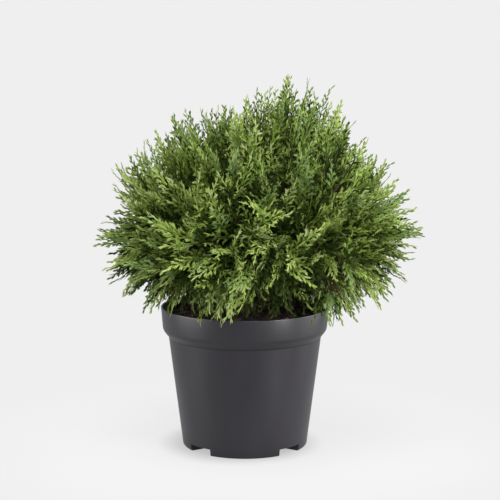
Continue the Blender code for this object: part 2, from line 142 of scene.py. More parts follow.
# The trunk and the boughs, as in the part, with more sides for the relief of their bark.
TRUNK_FOOT_RADIUS = 0.0105
TRUNK_TIP_RADIUS = 0.0042
ROOT_FLARE = 0.75
ROOT_FLARE_HEIGHT = 0.0060
ROOT_LOBES = 5
ROOT_LOBE_DEPTH = 0.4
TRUNK_TAPER_POWER = 0.8
BOUGH_START = {"lower": 0.12, "upper": 0.58}
BOUGH_START_SPREAD = {"lower": 0.38, "upper": 0.26}
BOUGH_START_STRIDE = 3
BOUGH_RADII = (0.0042, 0.0028)
BOUGH_TURN = 0.45
BOUGH_SAG = 0.0060
TRUNK_SIDES = 40
TRUNK_RINGS = 70
BOUGH_SIDES = 16
BOUGH_RINGS = 36
FURROW_DEPTH = 0.10
FURROW_SCALE = 260.0
FURROW_STRETCH = 0.16

# The source's rule for its sprays: each now is a twig that carries several finer sprays.
SPRAY_COUNT = 186
LOWEST_SPRAY = radians(-32.0)
SIZE_SPREAD = (0.85, 1.15)
SPRAY_STRAY = 0.16
TIP_REACH = (0.94, 1.02)
GOLDEN_ANGLE = pi * (3.0 - sqrt(5.0))
SEED = 29
LEADERS = (
    (0.0, 80.5, 1.01), (8.0, 72.0, 1.01), (0.0, 22.0, 1.0), (0.0, 7.0, 1.0), (180.0, 5.0, 1.0),
    (90.0, 6.0, 1.0), (270.0, 6.0, 1.0),
)

# Twigs that the source leaves out. First the leading ones: their elevation and share of the reach at the
# right and the left of the outline, and with their bearing before them elsewhere.
RIGHT_TIPS = (
    (80.6, 1.01), (73.8, 1.01), (67.4, 1.03), (61.1, 0.98), (49.0, 0.95), (35.7, 1.0), (18.5, 0.98),
    (11.5, 0.99), (8.2, 1.005), (3.2, 0.97), (-7.3, 0.985), (-9.5, 1.02), (-19.9, 1.045), (-33.0, 1.055),
    (-42.0, 1.0),
)
LEFT_TIPS = (
    (87.6, 0.96), (78.3, 0.965), (70.8, 0.97), (66.3, 0.99), (59.3, 1.02), (47.1, 1.01), (31.1, 1.05),
    (27.0, 1.0), (15.0, 0.955), (3.9, 1.01), (-6.5, 1.01), (-9.4, 1.02), (-17.3, 1.045), (-27.1, 1.055),
)
OTHER_TIPS = (
    (160.0, 62.0, 1.03), (200.0, 60.0, 1.03), (166.0, 50.0, 1.04), (194.0, 45.0, 1.04),
    (168.0, 37.0, 1.04), (192.0, 32.0, 1.04), (244.0, -24.0, 1.02), (255.0, -22.0, 0.98),
    (263.0, -14.0, 1.0), (297.0, -24.0, 0.99), (306.0, -23.0, 1.0),
)
# Then a ring round the skirt and dark ones inside it, dark as painted shade: their twigs, elevation, share
# and layers.
SKIRT = (20, -25.0, 1.03, (0, 1))
INNER_RINGS = ((22, -27.0, 0.86, (3, 4)), (18, -46.0, 0.95, (4, 5)))

# The twigs, in a few flat fans one behind another: for each layer, its reach as a share of the source's
# and how far it strays sideways.
LAYERS = ((1.0, 0.03), (0.98, 0.10), (0.94, 0.14), (0.87, 0.16), (0.77, 0.19), (0.66, 0.24))
DEEP_LAYER = 3
UNEVEN_REACH = (0.95, 1.03)
FURTHEST_REACH = 1.01
TWIG_START = (0.28, 0.46)
TWIG_ARRIVAL = 0.45
TWIG_RADII = (0.0013, 0.0005)
TWIG_SIDES = 5
TWIG_RINGS = 8
STEM_RADII = (0.0028, 0.0016)
STEM_RINGS = 5

# The finer sprays of a twig: one leads, the others leave it to its sides in turn.
SIDE_SPRAYS = 4
SIDE_STEP = 0.0140
UNEVEN_PLACE = (0.1, 0.9)
SIDE_ANGLE = (radians(30.0), radians(44.0))
SIDE_STRAY = 0.16
SIDE_ROLL = radians(18.0)
SIDE_ROOM = 0.9
LEADING_LENGTH = (0.046, 0.062)
SIDE_LENGTH = (0.032, 0.046)
SHORTEST_SPRAY = 0.018
LEAST_LIMIT = 0.6
SHORTENING = 2.5
SHORTENING_ROUNDS = 3
# How far the growth turns off from outwards: up over the dome, down at the skirt, and astray, less at
# the crown's left and right than in front and behind.
UPWARD_GROWTH = 0.42
DROOPING_GROWTH = 0.80
TURNING_HEIGHT = 0.248
TURNING_SPREAD = 0.090
TURNING_STRAY = (0.06, 0.40)
RISING_STRAY = 0.6
# How far a fan closes at the crown's left and right and low down, as a share of its angles.
SIDE_CLOSING = 0.44
LOW_CLOSING = 0.12
FRONT_FACING_SHARE = 0.6
EDGEWISE_SHARE = 0.2
END_ON = 0.25
ROLL_SPREAD = radians(36.0)
# The crown is open low in front, over the pot's mouth: the fans there are short and take the dark inner
# kinds, painted shade with some dead brown.
# For each opening: its bearing, half its angle and the elevation that it stays under.
OPENINGS = ((-73.0, 30.0, -7.0), (-135.0, 12.0, -9.0))
OPENING_SHARE = 0.94
OPENING_REACH = 0.60
SKIRT_ELEVATION = radians(-14.0)
SKIRT_REACH = 0.93
SKIRT_FACING = 0.45

# How the kinds are dealt: the patches' scale and the least patch of each kind, under them all blue.
PATCH_SCALE = 30.0
OUTER_KINDS = (("fresh", 0.12), ("leaf", -0.22), ("shade", -0.46))
INNER_PATCH = -0.1
LIT_HEIGHT = 0.33
DEAD_SHARE = 0.35
DEEP_SHARE = 0.95
# Each layer further in is darker by this much: painted shade.
LAYER_SHADE = 0.12
# What makes a kind darker, as painted shade: leading at the outline, and lying low or on top, the more so
# from the first height to the second.
LEADER_SHADE = 0.18
LOW_SHADE = 0.16
TOP_SHADE = 0.20
LOW_HEIGHTS = (0.250, 0.190)
TOP_HEIGHTS = (0.320, 0.375)
# How far the shade strays from fan to fan and from spray to spray.
FAN_STRAY = 0.34
SPRAY_SHADE = 0.08

# One spray: a stalk, branchlets to its sides in turn and shoots to theirs.
STALK_WIDTH = 0.0016
STALK_PIECES = 4
STALK_OVERLAP = 0.12
STALK_SWELL = 1.25
STALK_TAPER = 0.12
UNEVEN_STEP = (0.85, 1.15)
BRANCHLET_STEP = 0.0046
FIRST_BRANCHLET = (0.4, 1.2)
BRANCHLET_ANGLE = (radians(37.0), radians(46.0))
BRANCHLET_CLOSING = radians(6.0)
BRANCHLET_SHARE = 0.44
BRANCHLET_SPREAD = (0.82, 1.1)
FOOT_BRANCHLETS = 0.5
BRANCHLET_GAIN = 2.4
BRANCHLET_BEND = 0.10
SHORTEST_BRANCHLET = 0.0058
LONGEST_PLAIN = 1.6
BRANCHLET_WIDTH = 0.0017
SHOOT_STEP = 0.0036
FIRST_SHOOT = (0.8, 1.4)
SHOOT_ANGLE = (radians(33.0), radians(42.0))
SHOOT_LENGTH = 0.0060
SHOOT_SPREAD = (0.8, 1.15)
SHOOT_ROOM = 0.8
SHORTEST_SHOOT = 0.0020
SHOOT_WIDTH = 0.0020
SHOOT_RIDGE = 0.30
SHOOT_FOOT = 0.85
SHOOT_LIFT = (-0.18, 0.26)
WIDEST_SHARE = 0.60
LAST_FINGER = 0.0038
# How a spray bends: its arch and where it falls again, its cup, its sickle and its waves.
ARCH = (0.000, 0.005)
ARCH_FALL = 1.6
CUP = (0.0, 5.0)
SICKLE = (-0.8, 0.8)
WAVE = 0.0008
WAVE_SCALES = (260.0, 190.0)
WAVE_PHASE = (0.0, 6.28)
# Where leaves may be: within the outline, and clear of the wall, the soil and the rim.
OUTLINE_LIMIT = 1.06
WALL_GAP = 0.0010
SOIL_GAP = 0.0020
RIM_GAP = 0.0012

# Tints of the foliage, from the inside outwards, as (darker, lighter) plain colours. The deep and shade tints
# are darker copies of the green: painted shade for the fans inside the crown.
TINTS = {
    "deep": ((0.013, 0.022, 0.003), (0.028, 0.045, 0.006)),
    "shade": ((0.078, 0.125, 0.019), (0.120, 0.180, 0.029)),
    "leaf": ((0.177, 0.243, 0.051), (0.244, 0.321, 0.080)),
    "fresh": ((0.240, 0.294, 0.109), (0.305, 0.363, 0.156)),
    "bright": ((0.258, 0.298, 0.155), (0.322, 0.362, 0.216)),
    "blue": ((0.104, 0.164, 0.049), (0.154, 0.228, 0.077)),
    "dead": ((0.030, 0.020, 0.010), (0.075, 0.048, 0.024)),
}
# What a spray of each kind wears on its older part, its middle and its young tips: the older part, inside the
# fan, is darker partly for its age and partly as painted shade.
AGE_AND_SHADE_TINTS = {
    "deep": ("deep", "deep", "deep"),
    "shade": ("deep", "shade", "leaf"),
    "leaf": ("shade", "leaf", "fresh"),
    "fresh": ("shade", "leaf", "bright"),
    "blue": ("shade", "blue", "leaf"),
    "dead": ("dead", "dead", "dead"),
}
BRANCHLET_YOUTH = 0.35
SHARE_YOUTH = 0.5
YOUTH_STRAY = 0.18
MIDDLE_YOUTH = 0.32
YOUNG_YOUTH = 0.64
MOST_TRIANGLES = 190000

# The camera of the photograph: its distance, height, downward tilt and framing.
IMAGE_SIDE = 500
CAMERA_DISTANCE = 1.4851
CAMERA_HEIGHT = 0.4266
CAMERA_TILT = 0.1370
FOCAL_PIXELS = 1330.9
POT_AXIS_PIXEL = 244.9
SENSOR = 36.0

# The studio's greys, and its strengths as plain light and what a gloss adds to them.
BACKDROP = 0.862
LIT_FLOOR = 0.10
NEAR_FLOOR = 0.715
# The floor's glow at the pot's foot, dimmed there as a painted contact shadow.
PAINTED_CONTACT_SHADOW = 0.50
PLAIN_BACKDROP = 0.15
PLAIN_FLOOR = 0.20
MIRRORED_BACKDROP = 0.50
MIRRORED_FLOOR = 0.31
FLOOR_RADIUS = 8.0
FLOOR_SIDES = 96
FLOOR_FADE = (0.12, 0.38)
# Where the painted contact shadow lies, and how far out it fades.
CONTACT_PLACE = (-0.006, 0.0, 0.0)
CONTACT_FADE = (0.062, 0.100)
# Each light: its place, the height on the pot's axis that it faces, its size and its watts.
LIGHTS = {
    "overhead": ((-0.10, -0.60, 1.70), 0.30, (1.0, 0.8), 26.0),
    "front_fill": ((0.0, -1.75, 1.05), 0.25, (1.2, 0.6), 18.5),
    "back_fill": ((0.0, 1.60, 1.35), 0.20, (1.4, 0.6), 24.0),
    "left_panel": ((-1.25, -0.30, 0.25), 0.08, (1.0, 0.9), 25.0),
    "right_panel": ((1.00, -0.82, 0.22), 0.08, (0.4, 0.9), 24.0),
    "right_side": ((1.25, 0.20, 0.25), 0.08, (0.8, 0.9), 22.0),
}

# The surfaces: the scale and contrast of their patches, their roughness in the dark and the light ones,
# and their relief as (scale, fine scale, fine share), its depth and its strength.
SCALE_LEAF = dict(scale=150.0, contrast=0.16, rough=(0.62, 0.48), specular=0.07,
                  grain=(420.0, 1400.0, 0.5), depth=0.0003, strength=0.6)
MOULDED_PLASTIC = dict(scale=26.0, contrast=0.25, stretch=(1.0, 1.0, 0.35), rough=(0.30, 0.37),
                       specular=0.62, grain=(900.0, 2600.0, 0.6), depth=0.00006, strength=0.35)
POTTING_MIX = dict(scale=420.0, contrast=0.18, rough=(0.95, 0.80),
                   grain=(300.0, 1500.0, 0.5), depth=0.0012, strength=0.9)
FIBROUS_BARK = dict(scale=420.0, contrast=0.22, stretch=(1.0, 1.0, 0.18), rough=(0.92, 0.74),
                    grain=(500.0, 1800.0, 0.4), depth=0.0006, strength=0.9, grain_stretch=(1.0, 1.0, 0.15))
EVEN = (1.0, 1.0, 1.0)
PLAIN_SPECULAR = 0.5


# Materials

def new_material(name):
    material = bpy.data.materials.new(name)
    material.use_nodes = True
    return material, material.node_tree, material.node_tree.nodes["Principled BSDF"]


def add_node(tree, kind, **settings):
    made = tree.nodes.new("ShaderNode" + kind)
    for name, value in settings.items():
        setattr(made, name, value)
    return made


def set_inputs(made, **values):
    for name, value in values.items():
        made.inputs[name.replace("_", " ")].default_value = value
    return made


def wire(source, output, target, entry):
    """Joins one node's output to another's input."""
    source.id_data.links.new(source.outputs[output], target.inputs[entry])


def grey(level):
    return (level, level, level, 1.0)


def group_with(name, inputs, outputs):
    """An empty node group with named inputs (name, kind, value) and outputs (name, kind)."""
    tree = bpy.data.node_groups.new(name, "ShaderNodeTree")
    for label, kind, value in inputs:
        socket = tree.interface.new_socket(label, in_out="INPUT", socket_type="NodeSocket" + kind)
        socket.default_value = value
    for label, kind in outputs:
        tree.interface.new_socket(label, in_out="OUTPUT", socket_type="NodeSocket" + kind)
    given, out = tree.nodes.new("NodeGroupInput"), tree.nodes.new("NodeGroupOutput")
    stretched = add_node(tree, "VectorMath", operation="MULTIPLY")
    wire(add_node(tree, "TexCoord"), "Object", stretched, 0)
    wire(given, "Stretch", stretched, 1)
    return tree, given, out, stretched


def mottle_group():
    """Two colours in soft patches, with the mask that mixes them. Stretch scales the pattern's axes."""
    tree, given, out, stretched = group_with(
        "mottle",
        (("Dark", "Color", grey(0.1)), ("Light", "Color", grey(0.2)), ("Scale", "Float", 100.0),
         ("Stretch", "Vector", EVEN), ("Contrast", "Float", 0.3)),
        (("Color", "Color"), ("Mask", "Float")),
    )
    pattern = set_inputs(add_node(tree, "TexNoise"), Detail=4.0, Roughness=0.6)
    spread = add_node(tree, "MapRange", clamp=True)
    for operation, entry in (("SUBTRACT", "From Min"), ("ADD", "From Max")):
        edge = add_node(tree, "Math", operation=operation)
        edge.inputs[0].default_value = 0.5
        wire(given, "Contrast", edge, 1)
        wire(edge, 0, spread, entry)
    mixed = add_node(tree, "Mix", data_type="RGBA")
    wire(stretched, 0, pattern, "Vector")
    wire(given, "Scale", pattern, "Scale")
    wire(pattern, "Fac", spread, "Value")
    wire(spread, "Result", mixed, "Factor")
    wire(given, "Dark", mixed, "A")
    wire(given, "Light", mixed, "B")
    wire(mixed, "Result", out, "Color")
    wire(spread, "Result", out, "Mask")
    return tree


def relief_group():
    """A height that joins broad swells with a fine grain, for a Bump node."""
    tree, given, out, stretched = group_with(
        "relief",
        (("Scale", "Float", 100.0), ("Fine Scale", "Float", 900.0), ("Fine Share", "Float", 0.4),
         ("Stretch", "Vector", EVEN)),
        (("Height", "Float"),),
    )
    joined_up = add_node(tree, "Mix", data_type="FLOAT")
    for detail, scale, entry in ((3.0, "Scale", "A"), (2.0, "Fine Scale", "B")):
        pattern = set_inputs(add_node(tree, "TexNoise"), Detail=detail)
        wire(stretched, 0, pattern, "Vector")
        wire(given, scale, pattern, "Scale")
        wire(pattern, "Fac", joined_up, entry)
    wire(given, "Fine Share", joined_up, "Factor")
    wire(joined_up, "Result", out, "Height")
    return tree


MOTTLE = mottle_group()
RELIEF = relief_group()


def surface(name, colours, scale, contrast, rough, grain, depth, strength,
            specular=PLAIN_SPECULAR, stretch=EVEN, grain_stretch=EVEN):
    """A material with two colours in soft patches, a roughness that goes with them, and a relief."""
    material, tree, shader = new_material(name)
    dark, light = colours
    mottle = add_node(tree, "Group", node_tree=MOTTLE)
    set_inputs(mottle, Dark=(*dark, 1.0), Light=(*light, 1.0), Scale=scale, Contrast=contrast)
    set_inputs(mottle, Stretch=stretch)
    spread = set_inputs(add_node(tree, "MapRange"), To_Min=rough[0], To_Max=rough[1])
    relief = add_node(tree, "Group", node_tree=RELIEF)
    set_inputs(relief, Scale=grain[0], Fine_Scale=grain[1], Fine_Share=grain[2], Stretch=grain_stretch)
    bump = set_inputs(add_node(tree, "Bump"), Strength=strength, Distance=depth)
    set_inputs(shader, Specular_IOR_Level=specular)
    wire(mottle, "Color", shader, "Base Color")
    wire(mottle, "Mask", spread, "Value")
    wire(spread, "Result", shader, "Roughness")
    wire(relief, "Height", bump, "Height")
    wire(bump, "Normal", shader, "Normal")
    return material


def scale_leaf(name, colours):
    """Matt scale leaves, with small soft patches of colour."""
    return surface(name, colours, **SCALE_LEAF)


def moulded_plastic(name, colours):
    """Moulded plastic with faint upright streaks."""
    return surface(name, colours, **MOULDED_PLASTIC)


def potting_mix(name, colours):
    """Rough potting mix, also used for the dark inside of the pot's band, which is painted shade."""
    return surface(name, colours, **POTTING_MIX)


def fibrous_bark(name, colours):
    """Bark with fine upright fibres."""
    return surface(name, colours, **FIBROUS_BARK)


# Meshes

def add_object(data):
    """An object of its data's name."""
    obj = bpy.data.objects.new(data.name, data)
    bpy.context.scene.collection.objects.link(obj)
    return obj


def link_mesh(mesh, *materials):
    for material in materials:
        mesh.materials.append(material)
    return add_object(mesh)


def ride_on_root(obj, slot, *nodes):
    """The finished piece rides with the part and stands for its nodes. Its slot is not used."""
    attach(obj, "root")
    if nodes:
        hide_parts(*nodes)


def add_piece(mesh, material, slot, *nodes):
    ride_on_root(link_mesh(mesh, material), slot, *nodes)


def mesh_from_arrays(name, points, faces, smooth=False):
    mesh = bpy.data.meshes.new(name)
    mesh.from_pydata(points.tolist(), [], faces.tolist(), shade_flat=not smooth)
    return mesh


def mesh_from_bmesh(name, bm):
    bmesh.ops.recalc_face_normals(bm, faces=bm.faces)
    mesh = bpy.data.meshes.new(name)
    bm.to_mesh(mesh)
    bm.free()
    return mesh


def joined(shapes):
    """Several (points, faces) as one."""
    points, faces, count = [], [], 0
    for shape_points, shape_faces in shapes:
        points.append(shape_points)
        faces.append(shape_faces + count)
        count += len(shape_points)
    return np.concatenate(points), np.concatenate(faces)


def around(count):
    """Each place round a ring with the one after it."""
    return [(step, (step + 1) % count) for step in range(count)]


def even_shares(count):
    return [step / (count - 1) for step in range(count)]


def curve(first, middle, last, share):
    """A point on the curve that leaves first towards middle and comes to last from it."""
    return first * (1.0 - share) ** 2 + middle * 2.0 * share * (1.0 - share) + last * share ** 2


def heading(bearing, elevation):
    """A unit vector from a bearing round Z and an elevation, in radians."""
    level = cos(elevation)
    return Vector((level * cos(bearing), level * sin(bearing), sin(elevation)))


def compass(bearing, elevation):
    """A unit vector from a bearing round Z and an elevation, in degrees."""
    return heading(radians(bearing), radians(elevation))


def join_rows(bm, rows, sides):
    """Makes the faces between each row of points and the next. A row may be one point."""
    for first, second in zip(rows, rows[1:]):
        for step, after in around(sides):
            corners = [first[step % len(first)], first[after % len(first)]]
            corners += [second[after % len(second)], second[step % len(second)]]
            bm.faces.new(list(dict.fromkeys(corners)))


def turned(profile, sides):
    """A skin turned about Z from a profile of (radius, height). A height may be a rule of (x, y)."""
    bm = bmesh.new()
    rings = []
    for radius, height in profile:
        rings.append([])
        for step in range(sides if radius else 1):
            angle = tau * step / sides
            x, y = radius * cos(angle), radius * sin(angle)
            rings[-1].append(bm.verts.new((x, y, height(x, y) if callable(height) else height)))
    join_rows(bm, rings, sides)
    return bm


def sector_block(inner, outer, low, high, middle, half_angle):
    """A block between two radii and two heights, over a stretch of angle either side of middle."""
    bm = bmesh.new()
    rows = []
    for step in range(NOTCH_STEPS + 1):
        along = heading(middle + half_angle * (2.0 * step / NOTCH_STEPS - 1.0), 0.0)
        corners = ((inner, low), (outer, low), (outer, high), (inner, high))
        rows.append([bm.verts.new(along * radius + UP * height) for radius, height in corners])
    join_rows(bm, rows, len(corners))
    bm.faces.new(rows[0][::-1])
    bm.faces.new(rows[-1])
    return bm


def cut_or_join(obj, operation, blocks):
    """Applies one Boolean of obj with every block, whose objects are then removed."""
    collection = bpy.data.collections.new("helpers")
    bpy.context.scene.collection.children.link(collection)
    for block in blocks:
        collection.objects.link(bpy.data.objects.new("helper", mesh_from_bmesh("helper", block)))
    modifier = obj.modifiers.new("join", "BOOLEAN")
    modifier.operation = operation
    modifier.operand_type = "COLLECTION"
    modifier.collection = collection
    modifier.solver = "EXACT"
    bpy.context.view_layer.update()
    graph = bpy.context.evaluated_depsgraph_get()
    mesh = bpy.data.meshes.new_from_object(obj.evaluated_get(graph))
    obj.modifiers.clear()
    obj.data = mesh
    for helper in list(collection.objects):
        bpy.data.objects.remove(helper)
    bpy.data.collections.remove(collection)


# The pot

def rounded_profile(corners):
    """A profile of (radius, height) from corners that also say how far their round reaches."""
    points = [corners[0][:2]]
    for before, corner, after in zip(corners, corners[1:], corners[2:]):
        size = corner[2]
        if size == 0.0:
            points.append(corner[:2])
            continue
        middle = Vector(corner[:2])
        first, last = (middle + (Vector(other[:2]) - middle).normalized() * size for other in (before, after))
        for step in range(ROUND_STEPS + 1):
            points.append(tuple(curve(first, middle, last, step / ROUND_STEPS)))
    points.append(corners[-1][:2])
    return points


def wall_radius(height):
    """The outer radius of the tapered wall at a height."""
    return BASE_RADIUS + (WALL_TOP_RADIUS - BASE_RADIUS) * height / WALL_TOP_HEIGHT


def inner_radius(height):
    """The radius inside the pot's wall at a height in the band."""
    share = (height - BAND_FOOT_HEIGHT) / (POT_HEIGHT - BAND_FOOT_HEIGHT)
    return BAND_FOOT_RADIUS + (RIM_RADIUS - BAND_FOOT_RADIUS) * share - WALL


def drain_hole(angle):
    """What is cut out of a notch's roof for its drain hole."""
    low, high = NOTCH_HEIGHT - WALL, NOTCH_HEIGHT + 2.0 * WALL
    drain = turned([(0.0, low), (DRAIN_RADIUS, low), (DRAIN_RADIUS, high), (0.0, high)], DRAIN_SIDES)
    distance = 0.5 * (NOTCH_INNER_RADIUS + BASE_RADIUS) - WALL
    bmesh.ops.translate(drain, verts=drain.verts, vec=(cos(angle) * distance, sin(angle) * distance, 0.0))
    return drain


def make_nursery_pot():
    notch_line = NOTCH_HEIGHT + 2.0 * WALL
    crease_foot = WALL_TOP_HEIGHT - CREASE_LINE
    corners = [
        (0.0, 0.0, 0.0),
        (BASE_RADIUS, 0.0, FOOT_ROUND),
        (wall_radius(notch_line), notch_line, 0.0),
        (wall_radius(crease_foot), crease_foot, 0.0),
        (WALL_TOP_RADIUS, WALL_TOP_HEIGHT, CREASE_ROUND),
        (WALL_TOP_RADIUS + CREASE_LINE, WALL_TOP_HEIGHT + CREASE_LINE * BAND_SLOPE, 0.0),
        (BAND_FOOT_RADIUS, BAND_FOOT_HEIGHT, BAND_ROUND),
        (RIM_RADIUS, POT_HEIGHT, RIM_ROUND),
        (RIM_RADIUS - WALL, POT_HEIGHT, RIM_ROUND),
        (BAND_FOOT_RADIUS - WALL, BAND_FOOT_HEIGHT, BAND_ROUND),
        (WALL_TOP_RADIUS - WALL, WALL_TOP_HEIGHT, CREASE_ROUND),
        (wall_radius(notch_line) - WALL, notch_line, 0.0),
        (wall_radius(POT_FLOOR) - WALL, POT_FLOOR, FOOT_ROUND * 0.5),
        (0.0, POT_FLOOR, 0.0),
    ]
    pot = link_mesh(mesh_from_bmesh("nursery_pot", turned(rounded_profile(corners), POT_SIDES)))
    angles = [tau * (step + 0.5) / NOTCH_COUNT for step in range(NOTCH_COUNT)]
    pocket_angle = NOTCH_HALF_ANGLE + WALL / NOTCH_INNER_RADIUS
    cut_or_join(pot, "UNION", [
        sector_block(NOTCH_INNER_RADIUS - WALL, BASE_RADIUS - 0.5 * WALL, 0.5 * POT_FLOOR,
                     NOTCH_HEIGHT + WALL, angle, pocket_angle) for angle in angles])
    cut_or_join(pot, "DIFFERENCE", [
        sector_block(NOTCH_INNER_RADIUS, RIM_RADIUS, -WALL, NOTCH_HEIGHT, angle, NOTCH_HALF_ANGLE)
        for angle in angles])
    cut_or_join(pot, "DIFFERENCE", [drain_hole(angle) for angle in angles])
    pot.data.materials.clear()
    for name, colours, finish in (("matte_moulded_plastic", PLASTIC, moulded_plastic),
                                  ("dusty_crease_plastic", CREASE_SHADE_PLASTIC, moulded_plastic),
                                  ("peat_stained_wall", INNER_WALL_SHADE, potting_mix)):
        pot.data.materials.append(finish(name, colours))
    for face in pot.data.polygons:
        distance, height = face.center.to_2d().length, face.center.z
        in_band = BAND_FOOT_HEIGHT < height < POT_HEIGHT - RIM_ROUND
        # Faces round the crease take the darker plastic of the painted crease shade.
        if distance > WALL_TOP_RADIUS - 0.5 * WALL and abs(height - WALL_TOP_HEIGHT) < CREASE_LINE:
            face.material_index = 1
        # Faces inside the band take the dark wall of its painted shade.
        elif in_band and distance < inner_radius(height) + 0.5 * WALL:
            face.material_index = 2
    pot.data.shade_smooth()
    pot.data.set_sharp_from_angle(angle=SHARP_EDGE)
    ride_on_root(pot, "pot_plastic", "pot")


# The soil

def soil_height(x, y):
    share = min(hypot(x, y) / inner_radius(SOIL_EDGE_HEIGHT), 1.0)
    level = SOIL_MIDDLE_HEIGHT + (SOIL_EDGE_HEIGHT - SOIL_MIDDLE_HEIGHT) * share ** 2
    place = Vector((x, y, 0.0)) * SOIL_LUMP_SCALE
    lumps = BROAD_LUMPS * noise.noise(place) + FINE_LUMPS * noise.noise(place * FINE_LUMP_SCALE)
    return level + SOIL_LUMP * (SOIL_LEVEL + lumps)


def make_soil_surface():
    """A lumpy skin over the root ball, up to the pot's inner wall."""
    radius = inner_radius(SOIL_EDGE_HEIGHT) - CLEARANCE
    profile = [(radius * ring / SOIL_RINGS, soil_height) for ring in range(SOIL_RINGS + 1)]
    profile.append((radius, SOIL_EDGE_HEIGHT - SOIL_LUMP))
    mesh = mesh_from_bmesh("soil_surface", turned(profile, SOIL_SIDES))
    mesh.shade_smooth()
    add_piece(mesh, potting_mix("damp_potting_mix", DAMP_SOIL), "potting_soil")


def make_crumbs(name, count, sizes, material, chance):
    """Crumbs of potting mix as uneven eight-sided lumps, bedded in the soil."""
    corners = np.array([(1, 0, 0), (-1, 0, 0), (0, 1, 0), (0, -1, 0), (0, 0, 1), (0, 0, -1)], float)
    sides = np.array([(0, 2, 4), (2, 1, 4), (1, 3, 4), (3, 0, 4), (2, 0, 5), (1, 2, 5), (3, 1, 5), (0, 3, 5)])
    lumps = []
    for _ in range(count):
        turn = chance.uniform(0.0, tau)
        distance = (inner_radius(SOIL_EDGE_HEIGHT) - CRUMB_MARGIN) * sqrt(chance.uniform(0.0, 1.0))
        x, y = distance * cos(turn), distance * sin(turn)
        size = chance.uniform(*sizes)
        shape = np.array([chance.uniform(*span) for span in CRUMB_SHAPE]) * size
        spin = chance.uniform(0.0, tau)
        lean = chance.uniform(*CRUMB_LEAN)
        spun = np.array([(cos(spin), sin(spin), 0.0), (-sin(spin), cos(spin), 0.0), (0.0, 0.0, 1.0)])
        tilt = np.array([(cos(lean), 0.0, sin(lean)), (0.0, 1.0, 0.0), (-sin(lean), 0.0, cos(lean))])
        jitter = np.array([[chance.uniform(*CRUMB_JITTER)] for _ in corners])
        lump = corners * jitter * shape @ tilt @ spun
        lumps.append((lump + (x, y, soil_height(x, y) + CRUMB_RISE * size), sides))
    add_piece(mesh_from_arrays(name, *joined(lumps)), material, "potting_soil")


def make_soil():
    root_ball = frame["nodes"]["soil"].data.materials
    root_ball.clear()
    root_ball.append(potting_mix("root_ball", ROOT_BALL))
    make_soil_surface()
    chance = random.Random(SEED)
    for name, material, count, sizes, colours in CRUMBS:
        make_crumbs(name, count, sizes, potting_mix(material, colours), chance)


# The crown's outline and its masses

def outline_shares(points):
    """How far out each point of an array lies: 1 on the crown's outline, less inside it."""
    offset = points - np.array(CROWN_CENTRE)
    above = offset[:, 2] > 0.0
    half_height = np.where(above, CROWN_RISE, CROWN_DROP)
    power = np.where(above, RISE_POWER, DROP_POWER)
    x = offset[:, 0] - CROWN_LEAN * np.maximum(offset[:, 2] / CROWN_RISE, 0.0) ** 2
    level = (np.hypot(x, offset[:, 1]) / CROWN_RADIUS) ** power
    plain = (level + (np.abs(offset[:, 2]) / half_height) ** power) ** (1.0 / power)
    gain = np.ones(len(points))
    away = points - np.array(FORK)
    away /= np.linalg.norm(away, axis=1, keepdims=True) + 1e-12
    for bearing, elevation, swell in SWELLS:
        towards = np.array(compass(bearing, elevation))
        angle = np.arccos(np.clip(away @ towards, -1.0, 1.0))
        gain += swell * np.exp(-(angle / SWELL_ANGLE) ** 2)
    return plain / gain


def outline_share(point):
    return float(outline_shares(np.array([point]))[0])


def reach(direction):
    """The distance from the fork to the crown's outline along a direction."""
    near, far = 0.0, 2.0 * CROWN_RADIUS
    for _ in range(REACH_STEPS):
        middle = 0.5 * (near + far)
        inside = outline_share(FORK + direction * middle) < 1.0
        near, far = (middle, far) if inside else (near, middle)
    return near


TOP_DIRECTION = compass(RINGS[-1][3], RINGS[-1][2])


def mass_layout():
    """Every mass as (ring, number in the ring, name, direction from the fork)."""
    masses = []
    for ring, count, elevation, first in RINGS:
        for number in range(count):
            bearing = radians(first) + tau * number / count
            name = f"foliage_{ring}_{number + 1}" if count > 1 else f"foliage_{ring}"
            masses.append((ring, number, name, heading(bearing, radians(elevation))))
    return masses


def spray_directions():
    """Directions spread evenly over the crown above its open underside, with the leaders first."""
    found = [(compass(bearing, elevation), share) for bearing, elevation, share in LEADERS]
    low = sin(LOWEST_SPRAY)
    for step in range(SPRAY_COUNT):
        height = 1.0 - (1.0 - low) * (step + 0.5) / SPRAY_COUNT
        found.append((heading(GOLDEN_ANGLE * step, asin(height)), None))
    return found


# Limbs and twigs

def mass_foot(direction):
    return FORK + direction * MASS_START * reach(direction)


def trunk_point(share):
    """The trunk's middle line: it leans from the pot's axis through the fork to the top mass."""
    foot = UP * (SOIL_MIDDLE_HEIGHT + CLEARANCE)
    tip = mass_foot(TOP_DIRECTION) - TOP_DIRECTION * CLEARANCE
    return curve(foot, FORK * 2.0 - 0.5 * (foot + tip), tip, share)


def trunk_radius(share):
    return TRUNK_FOOT_RADIUS + (TRUNK_TIP_RADIUS - TRUNK_FOOT_RADIUS) * share ** TRUNK_TAPER_POWER


def bough_path(ring, number, count, direction):
    """From inside the trunk, up and outwards, to the foot of its mass."""
    height = BOUGH_START_STRIDE * number % count / count
    start = trunk_point(BOUGH_START[ring] + BOUGH_START_SPREAD[ring] * height)
    end = mass_foot(direction) - direction * CLEARANCE
    turn = end - direction * BOUGH_TURN * (end - start).length - UP * BOUGH_SAG
    return [curve(start, turn, end, share) for share in even_shares(BOUGH_RINGS)]


def tapered(radii, count):
    return [radii[0] + (radii[1] - radii[0]) * step / (count - 1) for step in range(count)]


